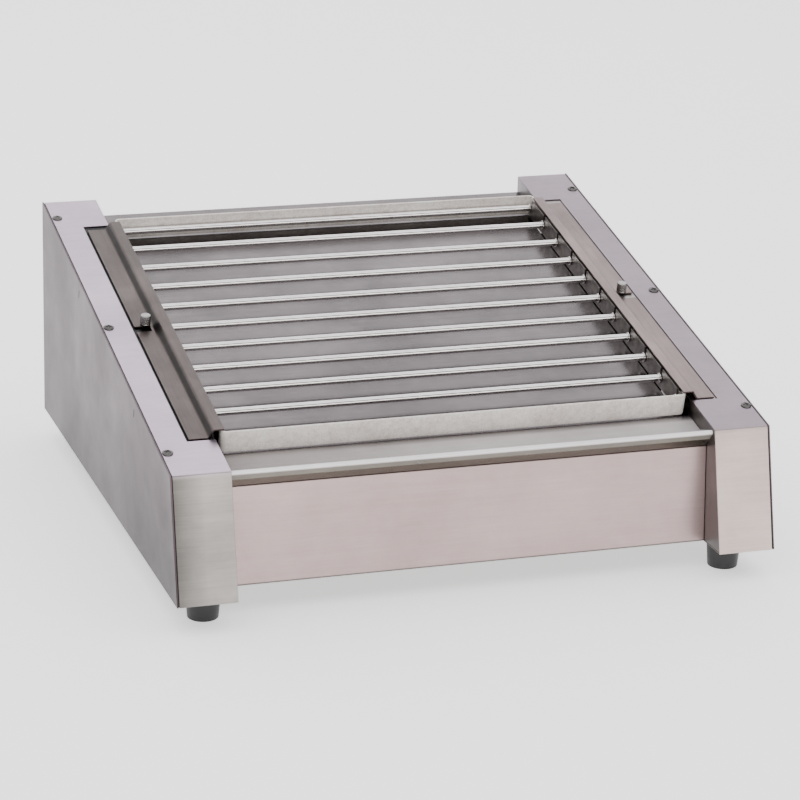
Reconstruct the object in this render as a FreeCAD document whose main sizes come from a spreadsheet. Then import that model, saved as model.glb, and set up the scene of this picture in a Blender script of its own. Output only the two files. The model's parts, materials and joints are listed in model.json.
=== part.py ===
import FreeCAD, Part
import os
import re

import Sketcher
from FreeCAD import Placement, Rotation, Vector

# A flat-bed hot dog roller grill: a sloping heated deck between two wedge-shaped towers, and a rack of
# free-turning rods that slides up and down the deck and rolls what lies between the rods.
# X is to the right, Y to the back, Z up. The origin is on the counter, under the middle of the grill.
# A sloped piece is drawn in the deck's own frame: x across, y up the slope from the towers' front top
# edge, z square to the slope.

SIZES = {
    # towers and outline
    "width": 535, "tower_width": 52, "foot_height": 25, "front_height": 130.5, "back_height": 232,
    "front_lean": 26, "sheet_gauge": 1.2, "side_gauge": 1.5, "seam_gap": 0.6, "flange_depth": 12,
    "seat_gap": 0.1, "edge_gap": 0.3, "slit_length": 7, "slit_width": 1.4, "slit_drop": 9,
    "slit_front": 124, "slit_back": 341, "past": 1,
    # cover screws and feet
    "screw_edge": 7, "screw_end": 36, "screw_radius": 1.9, "screw_head": 4.7, "screw_rise": 1.9,
    "screw_length": 9, "foot_radius": 15, "foot_taper": 1.8, "foot_inset_x": 31.5, "foot_inset_y": 37,
    "foot_screw": 2.5, "foot_bore": 5.5, "foot_screw_seat": 12, "foot_screw_head": 3, "foot_screw_grip": 10,
    "foot_edge": 1, "foot_edge_rise": 1.5,
    # rack of rods
    "front_margin": 52, "back_margin": 55.2, "band_to_rod": 12, "rod_to_band": 7, "rod_pitch": 38.1,
    "rod_gaps": 10, "rod_radius": 3.175, "rod_lift": 10.5, "neck_radius": 2, "collar_radius": 4.4,
    "collar_width": 1.4, "rack_gap": 5, "band_gauge": 2, "band_height": 20, "band_bend": 5,
    "band_return": 9, "rack_lift": 1, "glide_length": 14, "run_gap": 0.05, "travel_front": 22,
    "travel_back": 40,
    # deck, lip and heat
    "deck_drop": 15, "deck_gauge": 1.5, "nose_radius": 2.2, "nose_set": 4.2, "nose_drop": 4.8,
    "lip_angle": 28.7, "skirt_angle": 29.3, "skirt_drop": 20.4, "deck_end": 0.8, "deck_skirt": 18,
    "deck_flange": 12, "spreader_gauge": 6, "spreader_edge": 20, "element_radius": 4,
    "shield_drop": 24,
    "spreader_margin": 4, "element_start": 28, "element_pin": 2, "element_pin_length": 12,
    "clamp_width": 16, "clamp_gauge": 2, "clamp_past": 10, "shield_rim": 14, "cutout_radius": 9,
    "cutout_height": 7,
    # drive
    "rocker_length": 90, "roller_radius": 2.2, "roller_drop": 6.5, "fork_play": 0.6, "fork_width": 16,
    "fork_gauge": 3.8, "arm_gap": 5, "arm_gauge": 3, "shaft_radius": 6, "bush_wall": 3, "hub_radius": 12,
    "gearbox_start": 88, "gearbox_length": 54, "gearbox_size": 64, "motor_radius": 28, "motor_length": 74,
    "motor_drop": 8, "hub_boss": 5, "arm_edge": 1.5, "roller_step": 0.6, "shaft_end": 8,
    "bush_length": 10, "bracket_gauge": 2, "limit_place": 33, "limit_length": 16, "limit_width": 10,
    "limit_height": 12,
    # guards
    "guard_gauge": 1.5, "guard_overlap": 8, "guard_clear": 0.5, "guard_proud": 0.6, "guard_flat": 1.5,
    "guard_joggle": 4.5, "guard_reach": 22.5, "guard_front_gap": 2, "guard_back_gap": 10,
    "notch_gap": 2, "ledge_width": 28, "thumb_inset": 10.5, "thumb_radius": 4.6, "thumb_height": 9.5,
    "thumb_slot": 9.6, "guard_travel": 7.2, "stud_radius": 2, "stud_length": 12, "nut_height": 3.5,
    "thumb_edge": 0.6,
    # panels and controls
    "panel_foot": 33.4, "panel_return": 14, "back_recess": 12.3, "control_height": 88,
    "inlet_place": 150, "switch_place": 96, "knob_place": -120, "knob_radius": 13, "knob_depth": 9.5,
    "spindle_radius": 3, "spindle_length": 8, "knob_rim": 2.4, "knob_bevel": 0.6, "knob_step": 2.5,
    "knob_draft": 0.9, "stat_width": 36, "stat_size": 30, "stat_seat": 10, "switch_length": 30,
    "switch_width": 20, "switch_depth": 22, "switch_flange": 2, "switch_lip": 1, "rocker_radius": 9,
    "rocker_width": 13, "rocker_set": 4, "rocker_pin": 3, "rocker_edge": 3.2, "window_depth": 13,
    "inlet_length": 28, "inlet_width": 20, "inlet_depth": 18, "inlet_flange": 3, "inlet_lip": 2,
    "inlet_wall": 2, "inlet_recess": 14, "inlet_pin_pitch": 7, "inlet_pin_width": 2,
    "inlet_pin_height": 4, "inlet_pin_length": 13, "block_place": -150, "block_set": 70,
    "block_width": 22, "block_height": 16, "block_pitch": 12, "block_hole": 2.5,
    "floor_vent_pitch": 26, "floor_vent_width": 6, "floor_vent_length": 90, "floor_vent_start": 120,
    "back_vent_pitch": 12, "back_vent_width": 4, "back_vent_height": 40, "back_vent_rise": 80,
    "back_drop": 24,
}

WORKED = {
    "rise": "back_height - front_height",
    "rack_length": "band_to_rod + rod_gaps * rod_pitch + rod_to_band",
    "slope_length": "front_margin + rack_length + back_margin",
    "depth": "sqrt(slope_length ^ 2 - rise ^ 2) + front_lean",
    "slope": "asin(rise / slope_length)",
    "lean": "atan(front_lean / (front_height - foot_height))",
    "front_edge": "-depth / 2",
    "slope_start": "front_edge + front_lean",
    "wall": "width / 2 - tower_width",
    # where a corner of the side outline goes when the outline is drawn 1 mm smaller all round
    "sole_in": "cos(lean) / (1 - sin(lean))",
    "brow_in": "(cos(lean) + sin(slope)) / (1 + sin(lean + slope))",
    "brow_down": "(sin(lean) + cos(slope)) / (1 + sin(lean + slope))",
    "crown_down": "cos(slope) / (1 - sin(slope))",
    # levels square to the slope, and places along it
    "deck_level": "-deck_drop",
    "rod_level": "deck_level + rod_lift",
    "band_level": "deck_level + rack_lift",
    "first_rod": "front_margin + band_to_rod",
    "back_band_end": "front_margin + rack_length",
    "rack_half": "wall - rack_gap",
    "rail_face": "rack_half - band_gauge",
    "rod_half": "rail_face - band_gauge - edge_gap",
    "fork_place": "first_rod + (rod_gaps + 1) / 2 * rod_pitch",
    "shaft_place": "fork_place + (travel_back - travel_front) / 2",
    "roller_level": "-roller_drop",
    "shaft_level": "roller_level - rocker_length",
    "roller_set": "(travel_back - travel_front) / 2",
    "roller_dip": "sqrt(rocker_length ^ 2 - ((travel_back + travel_front) / 2) ^ 2) - rocker_length",
    "arm_start": "wall + sheet_gauge + arm_gap",
    "ledge_top": "-sheet_gauge - seat_gap",
    "guard_start": "front_margin + guard_front_gap",
    "guard_end": "back_band_end - guard_back_gap",
    "thumb_line": "slope_length / 2",
    "guard_rise": "band_level + band_height + guard_clear + guard_gauge",
    "thumb_place": "wall + guard_reach - thumb_inset",
    "heat_level": "deck_level - deck_gauge - seat_gap - spreader_gauge",
    "element_pitch": "(rack_length - element_start * 2) / 8",
    "element_level": "heat_level - seat_gap - element_radius",
    "panel_start": "front_edge + panel_foot",
    "lip_y": "slope_start + lip_set * cos(slope) + lip_down * sin(slope)",
    "lip_z": "front_height + lip_set * sin(slope) - lip_down * cos(slope)",
    "lip_set": "nose_set + (skirt_drop - nose_drop) * tan(skirt_angle * 1 deg)"
               " - nose_radius * cos(skirt_angle * 1 deg)",
    "lip_down": "skirt_drop + nose_radius * sin(skirt_angle * 1 deg)",
    "back_face": "depth / 2 - back_recess",
    "deck_back": "(depth / 2 - deck_end - nose_radius - slope_start"
                 " - (deck_drop + nose_radius) * sin(slope)) / cos(slope) + nose_radius",
    "shaft_y": "slope_start + shaft_place * cos(slope) - shaft_level * sin(slope)",
    "shaft_z": "front_height + shaft_place * sin(slope) + shaft_level * cos(slope)",
}

ROD_COUNT = SIZES["rod_gaps"] + 1
VENT_ROW = range(-5, 6)
TERMINALS = 5
SIDES = {"left": -1, "right": 1}

doc = FreeCAD.newDocument("roller_grill")
parts = []


# ---------------------------------------------------------------- the sheets and the formulas

def tied(formula):
    """The formula with each size's name pointed at the sheet that holds it."""
    def point(word):
        name = word.group(0)
        if name in SIZES:
            return "Sizes." + name
        return "Worked." + name if name in WORKED else name
    return re.sub(r"[a-z][a-z_]*[a-z]", point, str(formula))


def make_sheet(name, rows, text):
    sheet_object = doc.addObject("Spreadsheet::Sheet", name)
    for row, (alias, value) in enumerate(rows.items(), 1):
        sheet_object.set(f"A{row}", alias)
        sheet_object.setAlias(f"B{row}", alias)
        sheet_object.set(f"B{row}", text(value))
    return sheet_object


def worked_text(formula):
    """A worked cell's text: sizes are read from the other sheet, worked values from this one."""
    return "=" + tied(formula).replace("Worked.", "")


sizes = make_sheet("Sizes", SIZES, str)
worked = make_sheet("Worked", WORKED, worked_text)
doc.recompute()


def number(formula):
    value = sizes.evalExpression(tied(formula))
    return float(getattr(value, "Value", value))


# ---------------------------------------------------------------- how pieces are made

slope_frame = doc.addObject("Part::Plane", "Slope")
slope_frame.Placement = Placement(Vector(), Rotation(Vector(1, 0, 0), 0))
slope_frame.setExpression("Placement.Base.y", tied("slope_start"))
slope_frame.setExpression("Placement.Base.z", tied("front_height"))
slope_frame.setExpression("Placement.Rotation.Angle", tied("slope"))

TURNS = {"x": "vector(0; 1; 0); 90", "y": "vector(1; 0; 0); -90", "z": "vector(0; 0; 1); 0"}
VIEWS = {
    "side": (Rotation(Vector(1, 1, 1), 120), Vector(1, 0, 0), (1, 0, 0)),
    "front": (Rotation(Vector(1, 0, 0), 90), Vector(0, 1, 0), (0, 1, 0)),
    "top": (Rotation(), Vector(0, 0, 1), (0, 0, 1)),
}


def place(piece, x=0, y=0, z=0, axis="z", sloped=False):
    local = f"placement(vector({tied(x)}; {tied(y)}; {tied(z)}); rotation({TURNS[axis]}))"
    piece.setExpression("Placement", ("Slope.Placement * " if sloped else "") + local)
    return piece


def box(name, x, y, z, length, width, height, sloped=False):
    piece = doc.addObject("Part::Box", name)
    for side, formula in (("Length", length), ("Width", width), ("Height", height)):
        piece.setExpression(side, tied(formula))
    return place(piece, x, y, z, sloped=sloped)


def cylinder(name, axis, x, y, z, radius, height, sloped=False):
    piece = doc.addObject("Part::Cylinder", name)
    piece.setExpression("Radius", tied(radius))
    piece.setExpression("Height", tied(height))
    return place(piece, x, y, z, axis, sloped)


def cut(name, base, *tools):
    piece = doc.addObject("Part::Cut", name)
    piece.Base = base
    piece.Tool = tools[0] if len(tools) == 1 else join(name + "_tools", *tools)
    return piece


def join(name, *pieces):
    piece = doc.addObject("Part::MultiFuse", name)
    piece.Shapes = list(pieces)
    return piece


def draw(sketch, points, closed):
    """Straight lines through the points, each point held by the formulas of its two coordinates."""
    values = [Vector(number(across), number(up), 0) for across, up in points]
    count = len(points) if closed else len(points) - 1
    for i in range(count):
        sketch.addGeometry(Part.LineSegment(values[i], values[(i + 1) % len(points)]), False)
    for i in range(count if closed else count - 1):
        sketch.addConstraint(Sketcher.Constraint("Coincident", i, 2, (i + 1) % count, 1))
    for i, (across, up) in enumerate(points):
        line, end = (i, 1) if i < count else (count - 1, 2)
        for kind, formula, value in (("DistanceX", across, values[i].x), ("DistanceY", up, values[i].y)):
            held = sketch.addConstraint(Sketcher.Constraint(kind, -1, 1, line, end, value))
            sketch.setExpression(f"Constraints[{held}]", tied(formula))


def extrude(name, face, view, start, length, sloped):
    piece = doc.addObject("Part::Extrusion", name)
    piece.Base = face
    piece.DirMode = "Custom"
    piece.Dir = VIEWS[view][1]
    piece.Solid = True
    piece.setExpression("LengthFwd", tied(length))
    return place(piece, *(f"({start}) * {share}" for share in VIEWS[view][2]), sloped=sloped)


def drawing(name, points, view, closed):
    sketch = doc.addObject("Sketcher::SketchObject", name + "_sketch")
    sketch.Placement = Placement(Vector(), VIEWS[view][0])
    draw(sketch, points, closed)
    return sketch


def prism(name, points, start, length, view="side", sloped=False):
    return extrude(name, drawing(name, points, view, True), view, start, length, sloped)


def offset(name, source, amount, fill):
    """A line moved sideways by an amount; its sign chooses the side."""
    line = doc.addObject("Part::Offset2D", name)
    line.Source = source
    line.Mode = "Skin"
    line.Join = "Arc"
    line.Fill = fill
    line.setExpression("Value", tied(amount))
    return line


def folded(name, points, gauge, start, length, view="side", sloped=False, bend=None):
    """Sheet folded along a line. With a bend radius the points are the bends' centres."""
    line = drawing(name, points, view, False)
    if bend:
        line = offset(name + "_bends", line, bend, False)
    band = offset(name + "_band", line, gauge, True)
    return extrude(name, band, view, start, length, sloped)


def turned(name, points, axis, x, y, z, sloped=False):
    """A turned body: points are (radius, height) up its axis."""
    body = doc.addObject("PartDesign::Body", name)
    sketch = body.newObject("Sketcher::SketchObject", name + "_profile")
    plane = next(o for o in body.Origin.OriginFeatures if o.Role == "XZ_Plane")
    sketch.AttachmentSupport = (plane, [""])
    sketch.MapMode = "FlatFace"
    draw(sketch, points, True)
    turn = body.newObject("PartDesign::Revolution", name + "_turn")
    turn.Profile = sketch
    turn.ReferenceAxis = (sketch, ["V_Axis"])
    turn.Angle = 360
    body.Tip = turn
    return place(body, x, y, z, axis, sloped)


def mirrored(name, source):
    piece = doc.addObject("Part::Mirroring", name)
    piece.Source = source
    piece.Normal = Vector(1, 0, 0)
    return piece


def keep(*pieces):
    for piece in pieces:
        piece.Label = piece.Name
        parts.append(piece)


def keep_pair(right):
    """Keeps a right-hand piece and its left-hand twin."""
    keep(right, mirrored(right.Name.replace("right", "left"), right))


# ---------------------------------------------------------------- towers

def outline(inset):
    """The towers' side outline, drawn smaller all round by inset."""
    return [
        (f"front_edge + ({inset}) * sole_in", f"foot_height + {inset}"),
        (f"slope_start + ({inset}) * brow_in", f"front_height - ({inset}) * brow_down"),
        (f"depth / 2 - ({inset})", f"back_height - ({inset}) * crown_down"),
        (f"depth / 2 - ({inset})", f"foot_height + {inset}"),
    ]


def screw_places():
    return ("screw_end", "slope_length / 2", "slope_length - screw_end")


def screw_holes(name, radius):
    """Holes for the tower's cover screws, square to the slope."""
    return [cylinder(f"{name}_{i}", "z", "width / 2 - screw_edge", s, "-screw_length * 2", radius,
                     "screw_length * 3", True)
            for i, s in enumerate(screw_places(), 1)]


def make_side_panel():
    flange = "sheet_gauge + edge_gap + seat_gap"
    start = "width / 2 - side_gauge - flange_depth"
    plate = prism("side_plate", outline("0"), "width / 2 - side_gauge", "side_gauge")
    rim = cut("side_rim", prism("side_rim_outside", outline(flange), start, "flange_depth"),
              prism("side_rim_inside", outline(flange + " + sheet_gauge"), start, "flange_depth"))
    slits = [box(f"side_slit_{i}", "width / 2 - side_gauge * 2", s, "-slit_drop - slit_length",
                 "side_gauge * 3", "slit_width", "slit_length", sloped=True)
             for i, s in enumerate(("slit_front", "slit_back"), 1)]
    keep_pair(cut("right_side_panel", join("side_panel_blank", plate, rim), *slits,
                  *screw_holes("side_screw_hole", "screw_radius + run_gap")))


def make_tower_cover():
    """One sheet bent over the tower's front, top and back, notched for the guard."""
    length = "tower_width - side_gauge - seam_gap"
    inside = outline("sheet_gauge")
    inside[0] = ("front_edge + sheet_gauge / cos(lean) - tan(lean)", "foot_height - 1")
    inside[3] = ("depth / 2 - sheet_gauge", "foot_height - 1")
    notch = box("cover_notch", "wall - 1", "guard_start - notch_gap", "-sheet_gauge * 2",
                "guard_reach + notch_gap + 1", "guard_end - guard_start + guard_travel + notch_gap * 2",
                "sheet_gauge * 4", sloped=True)
    keep_pair(cut("right_tower_cover", prism("cover_outside", outline("0"), "wall", length),
                  prism("cover_inside", inside, "wall - 1", "tower_width"), notch,
                  *screw_holes("cover_screw_hole", "screw_radius + edge_gap")))


def make_inner_wall():
    """The wall between tower and deck. Its ledge carries the guard, its slot lets the drive roller by."""
    plate = prism("wall_plate", outline("sheet_gauge + seat_gap"), "wall", "sheet_gauge")
    ledge = box("wall_ledge", "wall", "guard_start - 6", "ledge_top - sheet_gauge", "ledge_width",
                "guard_end - guard_start + guard_travel + 12", "sheet_gauge", sloped=True)
    slot = box("wall_slot", "wall - 1", "fork_place - travel_front - roller_radius - 2",
               "roller_level + roller_dip - roller_radius - edge_gap", "sheet_gauge + 2",
               "travel_front + travel_back + roller_radius * 2 + 4",
               "-roller_dip + roller_radius * 2 + edge_gap * 2", sloped=True)
    bearing = cylinder("wall_bearing_hole", "x", "wall - 1", "shaft_y", "shaft_z",
                       "shaft_radius + bush_wall", "sheet_gauge + 2")
    stud = cylinder("wall_stud_hole", "z", "thumb_place", "thumb_line", "-stud_length",
                    "stud_radius + run_gap", "stud_length + past * 2", sloped=True)
    keep_pair(cut("right_inner_wall", join("wall_blank", plate, ledge), slot, bearing, stud))


def make_cover_screws():
    screws = []
    for side, sign in SIDES.items():
        for i, s in enumerate(screw_places(), 1):
            x = f"{sign} * (width / 2 - screw_edge)"
            screws.append(turned(f"cover_screw_{side}_{i}", [
                ("0", "-screw_length"), ("screw_radius", "-screw_length"), ("screw_radius", "0"),
                ("screw_head", "0"),
                ("screw_head", "screw_rise * 0.45"), ("screw_head * 0.75", "screw_rise * 0.85"),
                ("screw_head * 0.35", "screw_rise"), ("0", "screw_rise"),
            ], "z", x, s, "0", sloped=True))
    keep(join("cover_screws", *screws))


# ---------------------------------------------------------------- feet and panels

def foot_places():
    for side, sign in SIDES.items():
        yield f"foot_front_{side}", f"{sign} * (width / 2 - foot_inset_x)", "front_edge + foot_inset_y"
        yield f"foot_back_{side}", f"{sign} * (width / 2 - foot_inset_x)", "depth / 2 - foot_inset_y"


def make_feet():
    bore = "foot_screw + seat_gap"
    screws = []
    for name, x, y in foot_places():
        keep(turned(name, [
            ("foot_bore", "0"), ("foot_radius - foot_taper - foot_edge", "0"),
            ("foot_radius - foot_taper", "foot_edge_rise"),
            ("foot_radius", "foot_height - foot_edge_rise"), ("foot_radius - foot_edge", "foot_height"),
            (bore, "foot_height"), (bore, "foot_screw_seat"), ("foot_bore", "foot_screw_seat"),
        ], "z", x, y, "0"))
        screws.append(turned(name + "_screw", [
            ("0", "foot_screw_seat - foot_screw_head"),
            ("foot_bore - edge_gap", "foot_screw_seat - foot_screw_head"),
            ("foot_bore - edge_gap", "foot_screw_seat"), ("foot_screw", "foot_screw_seat"),
            ("foot_screw", "foot_height + foot_screw_grip"), ("0", "foot_height + foot_screw_grip"),
        ], "z", x, y, "0"))
    keep(join("foot_screws", *screws))


def make_base_pan():
    """The floor of the grill. It reaches forward into both towers, past the set-back front panel."""
    half = "(width / 2 - side_gauge - edge_gap)"
    front, back = "front_edge + sheet_gauge * 1.5", "depth / 2 - sheet_gauge - edge_gap"
    step = "panel_start + panel_return + edge_gap"
    blank = prism("base_blank", [
        (f"-{half}", front), ("-wall", front), ("-wall", step), ("wall", step), ("wall", front),
        (half, front), (half, back), (f"-{half}", back),
    ], "foot_height", "sheet_gauge", view="top")
    holes = [cylinder(name + "_hole", "z", x, y, "foot_height - past", "foot_screw + run_gap",
                      "sheet_gauge + past * 2")
             for name, x, y in foot_places()]
    vents = [box(f"base_vent_{i}", f"{i} * floor_vent_pitch - floor_vent_width / 2", "-floor_vent_start",
                 "foot_height - past", "floor_vent_width", "floor_vent_length", "sheet_gauge + past * 2")
             for i in VENT_ROW]
    keep(cut("base_pan", blank, *holes, *vents))


def make_front_panel():
    half = "(wall - edge_gap)"
    top = "lip_z - seat_gap * 2"
    keep(folded("front_panel", [
        ("panel_start + panel_return", "foot_height"), ("panel_start", "foot_height"),
        ("lip_y", top), ("lip_y + panel_return * 0.6", top),
    ], "sheet_gauge", f"-{half}", f"{half} * 2"))


def control_face(name, x, width, height):
    """A hole through the back panel."""
    return box(name, f"{x} - ({width}) / 2", "back_face - sheet_gauge - past",
               f"control_height - ({height}) / 2", width, "sheet_gauge + past * 2", height)


def make_back_panel():
    half = "(wall - edge_gap)"
    low = "foot_height + sheet_gauge + seat_gap"
    blank = box("back_blank", f"-{half}", "back_face - sheet_gauge", low, f"{half} * 2", "sheet_gauge",
                f"back_height - back_drop - ({low})")
    inlet = control_face("inlet_hole", "inlet_place", "inlet_length + seat_gap * 2",
                         "inlet_width + seat_gap * 2")
    switch = control_face("switch_hole", "switch_place", "switch_length - switch_lip * 2 + seat_gap * 2",
                          "switch_width - switch_lip * 2 + seat_gap * 2")
    knob = cylinder("spindle_hole", "y", "knob_place", "back_face - sheet_gauge - past", "control_height",
                    "spindle_radius + edge_gap", "sheet_gauge + past * 2")
    vents = [box(f"back_vent_{i}", f"{i} * back_vent_pitch - back_vent_width / 2",
                 "back_face - sheet_gauge - past", "foot_height + back_vent_rise", "back_vent_width",
                 "sheet_gauge + past * 2", "back_vent_height") for i in VENT_ROW]
    keep(cut("back_panel", blank, inlet, switch, knob, *vents))


# ---------------------------------------------------------------- deck and heat

def make_deck():
    """Cooking deck: a raised rolled lip at the front, an upright skirt at the back."""
    half = "(wall - edge_gap)"
    low = "deck_level - nose_radius"
    points = [
        (f"deck_back - nose_radius - ({low} - deck_level + deck_skirt) * tan(slope)",
         "deck_level - deck_skirt"), ("deck_back - nose_radius", low),
        (f"nose_set - (({low}) + nose_drop) / tan(lip_angle * 1 deg)", low), ("nose_set", "-nose_drop"),
        ("nose_set + (skirt_drop - nose_drop) * tan(skirt_angle * 1 deg)", "-skirt_drop"),
    ]
    skin = folded("deck_skin", points, "-deck_gauge", f"-{half}", f"{half} * 2", sloped=True,
                  bend="nose_radius")
    flanges = [box(f"deck_flange_{side}", f"{sign} * ({half} - deck_gauge / 2) - deck_gauge / 2",
                   "front_margin", "deck_level - deck_flange", "deck_gauge",
                   "deck_back - front_margin - deck_flange - back_recess", "deck_flange - deck_gauge / 2",
                   sloped=True)
               for side, sign in SIDES.items()]
    keep(join("deck", skin, *flanges))


def make_element(name, start):
    """A tubular element: four legs across the deck joined by round bends, with a pin at each end."""
    legs = 4
    half = "(wall - spreader_edge * 2.5)"
    pieces = []
    for i in range(legs):
        s = f"{start} + {i} * element_pitch"
        pieces.append(cylinder(f"{name}_leg_{i}", "x", f"-{half}", s, "element_level", "element_radius",
                               f"{half} * 2", sloped=True))
    for i in range(legs - 1):
        bend = doc.addObject("Part::Torus", f"{name}_bend_{i}")
        bend.setExpression("Radius1", tied("element_pitch / 2"))
        bend.setExpression("Radius2", tied("element_radius"))
        bend.Angle3 = 180
        side, turn = (1, -90) if i % 2 == 0 else (-1, 90)
        spot = f"vector({tied(f'{side} * {half}')}; {tied(f'{start} + ({i} + 0.5) * element_pitch')}; "
        bend.setExpression("Placement", "Slope.Placement * placement(" + spot + tied("element_level")
                           + f"); rotation(vector(0; 0; 1); {turn}))")
        pieces.append(bend)
    for i in (0, legs - 1):
        s = f"{start} + {i} * element_pitch"
        pieces.append(cylinder(f"{name}_pin_{i}", "x", f"-{half} - element_pin_length", s,
                               "element_level", "element_pin", "element_pin_length + past", sloped=True))
    keep(join(name, *pieces))


def element_starts():
    return ("front_margin + element_start", "front_margin + element_start + element_pitch * 5")


def make_heat():
    start, end = "front_margin + spreader_margin", "back_band_end - spreader_margin"
    half = "(wall - spreader_edge)"
    keep(box("heat_spreader", f"-{half}", start, "heat_level", f"{half} * 2", f"{end} - ({start})",
             "spreader_gauge", sloped=True))
    make_element("heating_element_front", element_starts()[0])
    make_element("heating_element_rear", element_starts()[1])
    clamps = []
    for i, s in enumerate(element_starts()):
        for side, sign in SIDES.items():
            clamps.append(box(f"clamp_{i}_{side}", f"{sign} * wall / 2 - clamp_width / 2",
                              f"{s} - element_radius - clamp_past",
                              "element_level - element_radius - seat_gap - clamp_gauge", "clamp_width",
                              "element_pitch * 3 + (element_radius + clamp_past) * 2", "clamp_gauge",
                              sloped=True))
    keep(join("element_clamps", *clamps))
    shield = "(heat_level - shield_drop)"
    keep(folded("heat_shield", [
        (start, f"{shield} + shield_rim"), (start, shield), (end, shield), (end, f"{shield} + shield_rim"),
    ], "-sheet_gauge", f"-{half}", f"{half} * 2", sloped=True))
    keep(cylinder("thermal_cutout", "z", "0", "(front_margin + element_start + element_pitch * 4)",
                  "heat_level - seat_gap - cutout_height", "cutout_radius", "cutout_height", sloped=True))


# ---------------------------------------------------------------- rack of rods

def make_rods():
    shoulder = "rod_half"
    ring = "rod_half - collar_width"
    end = "rail_face - edge_gap"
    for i in range(ROD_COUNT):
        keep(turned(f"rod_{i + 1:02d}", [
            ("0", f"-({end})"), ("neck_radius", f"-({end})"), ("neck_radius", f"-({shoulder})"),
            ("collar_radius", f"-({shoulder})"), ("collar_radius", f"-({ring})"),
            ("rod_radius", f"-({ring})"), ("rod_radius", ring), ("collar_radius", ring),
            ("collar_radius", shoulder), ("neck_radius", shoulder), ("neck_radius", end), ("0", end),
        ], "x", "0", f"first_rod + {i} * rod_pitch", "rod_level",
            sloped=True))


def make_bands():
    """The rack's two cross bands, each bent back round the ends of the side rails."""
    half = "rack_half - band_bend"
    for name, end, inward, gauge in (("front_band", "front_margin", "+", "-band_gauge"),
                                     ("back_band", "back_band_end", "-", "band_gauge")):
        keep(folded(name, [
            (f"-({half})", f"{end} {inward} band_return"), (f"-({half})", f"{end} {inward} band_bend"),
            (half, f"{end} {inward} band_bend"), (half, f"{end} {inward} band_return"),
        ], gauge, "band_level", "band_height", view="top", sloped=True,
            bend="band_bend" if inward == "+" else "-band_bend"))


def make_rails():
    """Side rails with a slot, open at the top, for each rod's neck."""
    start = "front_margin + band_bend + edge_gap"
    blank = box("rail_blank", "rail_face - band_gauge", start, "band_level", "band_gauge",
                "rack_length - (band_bend + edge_gap) * 2", "band_height - 1", sloped=True)
    slots = []
    for i in range(ROD_COUNT):
        s = f"first_rod + {i} * rod_pitch"
        width = "(neck_radius + run_gap)"
        slots.append(cylinder(f"rail_seat_{i}", "x", "rail_face - band_gauge - 1", s, "rod_level", width,
                              "band_gauge + 2", sloped=True))
        slots.append(box(f"rail_slot_{i}", "rail_face - band_gauge - 1", f"{s} - {width}", "rod_level",
                         "band_gauge + 2", f"{width} * 2", "band_height", sloped=True))
    keep_pair(cut("right_side_rail", blank, *slots))


def make_rack_fittings():
    glides = []
    forks = []
    for side, sign in SIDES.items():
        rail = f"{sign} * (rail_face - band_gauge / 2)"
        for i, s in enumerate(("front_margin + 30", "back_band_end - 30 - glide_length")):
            glides.append(box(f"glide_{side}_{i}", f"{rail} - 1.5", s, "deck_level + run_gap * 2", "3",
                              "glide_length", "rack_lift - run_gap * 2", sloped=True))
        middle = f"{sign} * (rail_face + fork_gauge / 2)"
        slot = "(roller_radius + fork_play)"
        top = "roller_level + roller_radius + edge_gap * 2"
        plate = box(f"fork_blank_{side}", f"{middle} - fork_gauge / 2", "fork_place - fork_width / 2",
                    "band_level", "fork_gauge", "fork_width", "band_height - 3", sloped=True)
        gap = box(f"fork_slot_{side}", f"{middle} - fork_gauge", f"fork_place - {slot}", "band_level - 1",
                  "fork_gauge * 2", f"{slot} * 2", f"{top} - band_level + 1", sloped=True)
        forks.append(cut(f"fork_{side}", plate, gap))
    keep(join("rack_glides", *glides))
    keep(join("drive_forks", *forks))


# ---------------------------------------------------------------- drive

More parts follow.
